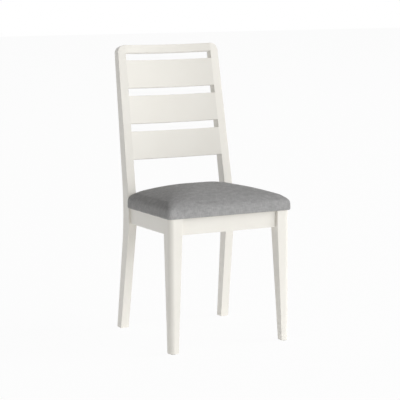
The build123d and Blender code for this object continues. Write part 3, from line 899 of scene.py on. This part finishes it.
    def inflate(self, pad: bpy.types.Object) -> None:
        """Swell the pad with a cloth simulation, and hold its lower edge.

        Args:
            pad: The pad's start form.
        """
        remesh = pad.modifiers.new("even_mesh", "REMESH")
        remesh.mode = "VOXEL"
        remesh.voxel_size = self.voxel
        settle(pad)
        pad.data.transform(self.seat_plane())
        pad.matrix_world = Matrix()
        plane = self.seat_plane().inverted()
        held = pad.vertex_groups.new(name="held")
        lower = [v.index for v in pad.data.vertices if (plane @ v.co).z < self.held_height]
        held.add(lower, 1.0, "ADD")
        start = [(v.co.copy(), v.normal.copy()) for v in pad.data.vertices]
        cloth = pad.modifiers.new("swell", "CLOTH")
        cloth.settings.quality = self.cloth_quality
        cloth.settings.mass = self.cloth_mass
        cloth.settings.tension_stiffness = self.stretch_stiffness
        cloth.settings.compression_stiffness = self.stretch_stiffness
        cloth.settings.bending_stiffness = self.bending_stiffness
        cloth.settings.use_pressure = True
        cloth.settings.uniform_pressure_force = self.pressure
        cloth.settings.effector_weights.gravity = 0
        cloth.settings.vertex_group_mass = held.name
        for step in range(1, self.frames + 1):
            bpy.context.scene.frame_set(step)
        settle(pad)
        bpy.context.scene.frame_set(1)
        for vertex, (origin, outwards) in zip(pad.data.vertices, start):
            swell = (vertex.co - origin).dot(outwards)
            vertex.co = origin + outwards * max(-self.most_draw_in, min(swell, self.most_swell))
        log.info("swelled %s over %d frames", pad.name, self.frames)

    def build(self, effects: SharedEffects) -> bpy.types.Object:
        """Make the pad and put it in place of the cover and the foam.

        Args:
            effects: Shared shader groups.

        Returns:
            The finished pad.
        """
        pad = self.start_form()
        self.inflate(pad)
        smooth = pad.modifiers.new("eased", "SMOOTH")
        smooth.factor = self.easing
        smooth.iterations = self.easing_rounds
        settle(pad)
        for polygon in pad.data.polygons:
            polygon.use_smooth = True
        finer = pad.modifiers.new("finer", "SUBSURF")
        finer.levels = 1
        finer.render_levels = 1
        low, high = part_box("seat_cover")
        middle = (low + high) / 2
        fabric = CoverFabric((middle.x, middle.y, high.z), tuple((high - low) / 2))
        dress(pad, fabric.material(effects))
        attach(pad, ROOT_BODY)
        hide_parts("seat_cover", "seat_foam")
        return pad


@dataclass
class SeatUnderside:
    """Board inside the pad and the dust cover stapled under it."""

    board: str = "seat_board"
    dust_cover: str = "dust_cover"
    staples: str = "dust_cover_staples"
    ply_early: Colour = (222, 196, 156)
    ply_late: Colour = (196, 162, 118)

    def dress(self, nodes: dict, effects: SharedEffects) -> None:
        """Give the board, dust cover and staples their finishes.

        Args:
            nodes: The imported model's objects by name.
            effects: Shared shader groups.
        """
        plywood = BareWood("seat_plywood", GrainAxis.ACROSS, self.ply_early, self.ply_late)
        dress(nodes[self.board], plywood.material(effects))
        dress(nodes[self.dust_cover], SpunCloth().material(effects))
        dress(nodes[self.staples], PlatedSteel().material(effects))


@dataclass(frozen=True)
class Softbox:
    """Round soft lamp that shines on a point from an azimuth and an elevation in degrees."""

    name: str
    azimuth: float
    elevation: float
    distance: float
    diameter: float
    power: float  # watts
    colour: Colour = (1.0, 1.0, 1.0)

    def add(self, lit: Vector) -> None:
        """Put the lamp in the scene, unseen by the camera.

        Args:
            lit: Point that it shines on.
        """
        turn, rise = radians(self.azimuth), radians(self.elevation)
        towards = Vector((sin(turn) * cos(rise), -cos(turn) * cos(rise), sin(rise)))
        data = bpy.data.lights.new(self.name, "AREA")
        data.shape = "DISK"
        data.size = self.diameter
        data.energy = self.power
        data.color = self.colour
        lamp = bpy.data.objects.new(self.name, data)
        lamp.location = lit + towards * self.distance
        lamp.rotation_euler = towards.to_track_quat("Z", "Y").to_euler()
        lamp.visible_camera = False
        lamp.visible_glossy = False
        bpy.context.scene.collection.objects.link(lamp)


@dataclass
class Studio:
    """Pale floor, soft lights and the camera."""

    camera_azimuth: float = -26.67  # degrees
    camera_elevation: float = 8.29
    camera_roll: float = -0.4
    camera_distance: float = 4.9305
    camera_target: Point = (-0.06078, -0.14691, 0.49189)
    focal_pixels: float = 1471.57
    sensor: float = 36.0  # millimetres
    camera_reach: float = 200.0
    floor_side: float = 60.0
    floor_paper: float = 0.9
    floor_glow: float = 0.95
    ambient: float = 0.34
    key: Softbox = Softbox("key", 65.0, 28.0, 25.0, 12.5, 2820.0, COOL)
    fill: Softbox = Softbox("fill", 26.0, 14.0, 25.0, 12.5, 2200.0, COOL)
    bounce_side: float = 6.0
    bounce_glow: float = 0.35
    bounce_height: float = 0.001

    def axes(self) -> Matrix:
        """Work out the camera's axes and place.

        Returns:
            The camera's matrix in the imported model's frame.
        """
        turn, rise = radians(self.camera_azimuth), radians(self.camera_elevation)
        roll = radians(self.camera_roll)
        back = Vector((sin(turn) * cos(rise), -cos(turn) * cos(rise), sin(rise)))
        right = Vector((cos(turn), sin(turn), 0))
        up = back.cross(right)
        level_right = right * cos(roll) + up * sin(roll)
        level_up = up * cos(roll) - right * sin(roll)
        eye = Vector(self.camera_target) + back * self.camera_distance
        matrix = Matrix((level_right, level_up, back)).transposed().to_4x4()
        matrix.translation = eye
        return matrix

    def add_camera(self) -> None:
        """Put the camera where the photograph was taken from."""
        data = bpy.data.cameras.new("camera")
        data.sensor_width = self.sensor
        data.lens = self.focal_pixels * self.sensor / IMAGE_SIDE
        data.clip_end = self.camera_reach
        camera = bpy.data.objects.new("camera", data)
        camera.matrix_world = self.axes()
        bpy.context.scene.collection.objects.link(camera)
        bpy.context.scene.camera = camera

    def background_share(self, graph: NodeGraph) -> bpy.types.NodeSocket:
        """Find the rays that see the plain white background.

        Args:
            graph: Graph of the floor's or the world's tree.

        Returns:
            A mask of those rays.
        """
        path = graph.add("ShaderNodeLightPath").outputs
        seen = graph.math("MAXIMUM", path["Is Camera Ray"], path["Is Glossy Ray"])
        return graph.math("MAXIMUM", seen, path["Is Transmission Ray"])

    def add_floor(self) -> None:
        """Lay the pale floor, which takes the chair's soft shadow."""
        mesh = bmesh.new()
        bmesh.ops.create_grid(mesh, x_segments=1, y_segments=1, size=self.floor_side / 2)
        data = bpy.data.meshes.new("floor")
        mesh.to_mesh(data)
        mesh.free()
        floor = bpy.data.objects.new("floor", data)
        bpy.context.scene.collection.objects.link(floor)
        material = bpy.data.materials.new("pale_floor")
        material.use_nodes = True
        tree = material.node_tree
        tree.nodes.clear()
        graph = NodeGraph(tree)
        tone = self.floor_paper
        paper = graph.add("ShaderNodeBsdfDiffuse", {"Color": (tone, tone, tone, 1.0)})
        glow = graph.add("ShaderNodeEmission", {"Color": WHITE, "Strength": 1.0})
        share = graph.math("MULTIPLY", self.background_share(graph), self.floor_glow)
        mix = graph.add("ShaderNodeMixShader", {0: share, 1: paper.outputs[0], 2: glow.outputs[0]})
        graph.add("ShaderNodeOutputMaterial", {"Surface": mix.outputs[0]})
        data.materials.append(material)

    def add_light(self) -> None:
        """Set the world's even light, two soft lamps at the front right and the floor's own light."""
        world = bpy.data.worlds.new("studio")
        world.use_nodes = True
        tree = world.node_tree
        tree.nodes.clear()
        graph = NodeGraph(tree)
        even = graph.add("ShaderNodeBackground", {"Color": WHITE, "Strength": self.ambient})
        white = graph.add("ShaderNodeBackground", {"Color": WHITE, "Strength": 1.0})
        share = self.background_share(graph)
        mix = graph.add("ShaderNodeMixShader", {0: share, 1: even.outputs[0], 2: white.outputs[0]})
        graph.add("ShaderNodeOutputWorld", {"Surface": mix.outputs[0]})
        bpy.context.scene.world = world
        middle = Vector((0, 0, self.camera_target[2]))
        self.key.add(middle)
        self.fill.add(middle)
        bounce_power = self.bounce_glow * (pi * self.bounce_side / 2) ** 2
        bounce = Softbox("bounce", 0.0, -90.0, 0.0, self.bounce_side, bounce_power)
        bounce.add(Vector((0, 0, self.bounce_height)))

    def build(self) -> None:
        """Add the camera, floor and lights, with plain colour handling."""
        bpy.context.scene.view_settings.view_transform = "Standard"
        self.add_camera()
        self.add_floor()
        self.add_light()
        log.info("set the studio")


def main() -> None:
    """Build the chair's pieces in order, then the studio."""
    logging.basicConfig(level=logging.INFO, format="%(message)s")
    effects = SharedEffects(GrainGroup(), HandlingGroup(), WeaveGroup(), SheetGroup())
    WoodenFrame().dress(frame["nodes"], effects)
    SeatUnderside().dress(frame["nodes"], effects)
    SeatPad().build(effects)
    Studio().build()


if __name__ == "__main__":
    main()
